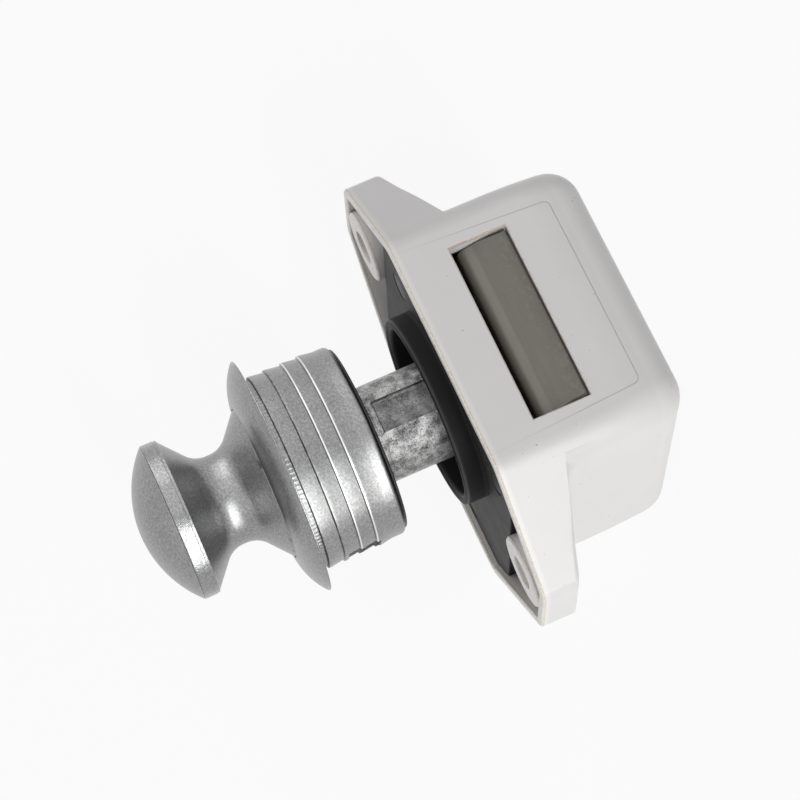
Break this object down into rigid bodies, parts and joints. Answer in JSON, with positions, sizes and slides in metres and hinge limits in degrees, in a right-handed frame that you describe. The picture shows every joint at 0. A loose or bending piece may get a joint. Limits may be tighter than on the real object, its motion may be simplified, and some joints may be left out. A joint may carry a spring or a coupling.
{
  "type": "push button cabinet lock",
  "caption": "Push-push cabinet lock: pull knob and rosette on a door, shaft to a box with two screw ears and a spring-driven sliding bolt.",
  "frame": {"origin": "on the shaft's axis, in the plane of the lock body that meets the inside of the door, midway between the two fixing screws", "axes": "+X runs from one fixing ear to the other, +Y from the knob through the door into the lock body, +Z is the way the bolt shoots"},
  "size_m": [0.06, 0.0662, 0.042],
  "materials": {
    "body_plastic": "light grey ABS, low sheen",
    "black_plastic": "black acetal, satin",
    "slide_plastic": "natural acetal, smooth",
    "cam_plastic": "natural nylon, smooth",
    "bolt_plastic": "olive grey glass-filled nylon, satin",
    "satin_nickel": "bead-blasted satin nickel on zinc",
    "raw_zinc": "raw die-cast zinc, grainy",
    "steel": "bright zinc plated",
    "spring_steel": "drawn spring wire"
  },
  "bodies": {
    "lock_body": {"housing": "body_plastic", "base_plate": "black_plastic", "plate_screws": "steel", "catch_leaf": "spring_steel"},
    "plunger": {"shaft": "raw_zinc", "cam_pin": "steel", "return_spring": "spring_steel"},
    "knob_set": {"adjust_stud": "steel", "lock_nut": "steel", "knob": "satin_nickel"},
    "bolt_carriage": {"bolt": "bolt_plastic", "bolt_slide": "slide_plastic", "roll_pins": "steel", "heart_cam": "cam_plastic"},
    "catch": {"catch_wire": "spring_steel"},
    "rosette_set": {"rosette": "satin_nickel", "rosette_bush": "black_plastic"}
  },
  "joints": [
    {"name": "knob_push", "type": "slide", "parent": "lock_body", "child": "plunger", "axis": [0, 1, 0], "range_m": [0, 0.0097], "stiffness_N_per_m": 400, "springref_m": -0.005, "deforming": ["return_spring"]},
    {"name": "bolt_throw", "type": "slide", "parent": "lock_body", "child": "bolt_carriage", "axis": [0, 0, 1], "range_m": [0, 0.008]},
    {"name": "catch_swing", "type": "hinge", "parent": "lock_body", "child": "catch", "pos_m": [0, 0.01, -0.0162], "axis": [1, 0, 0], "range_deg": [0, 9.8]},
    {"name": "door_adjust", "type": "slide", "parent": "plunger", "child": "knob_set", "axis": [0, 1, 0], "range_m": [0, 0.006]},
    {"name": "rosette_seat", "type": "slide", "parent": "lock_body", "child": "rosette_set", "axis": [0, 1, 0], "range_m": [0, 0.006]}
  ],
  "couplings": [
    {"joint": "bolt_throw", "follows": "knob_push", "ratio": 0.82474},
    {"joint": "catch_swing", "follows": "knob_push", "rad_per_m": 17.55},
    {"joint": "rosette_seat", "follows": "door_adjust", "ratio": 1}
  ]
}
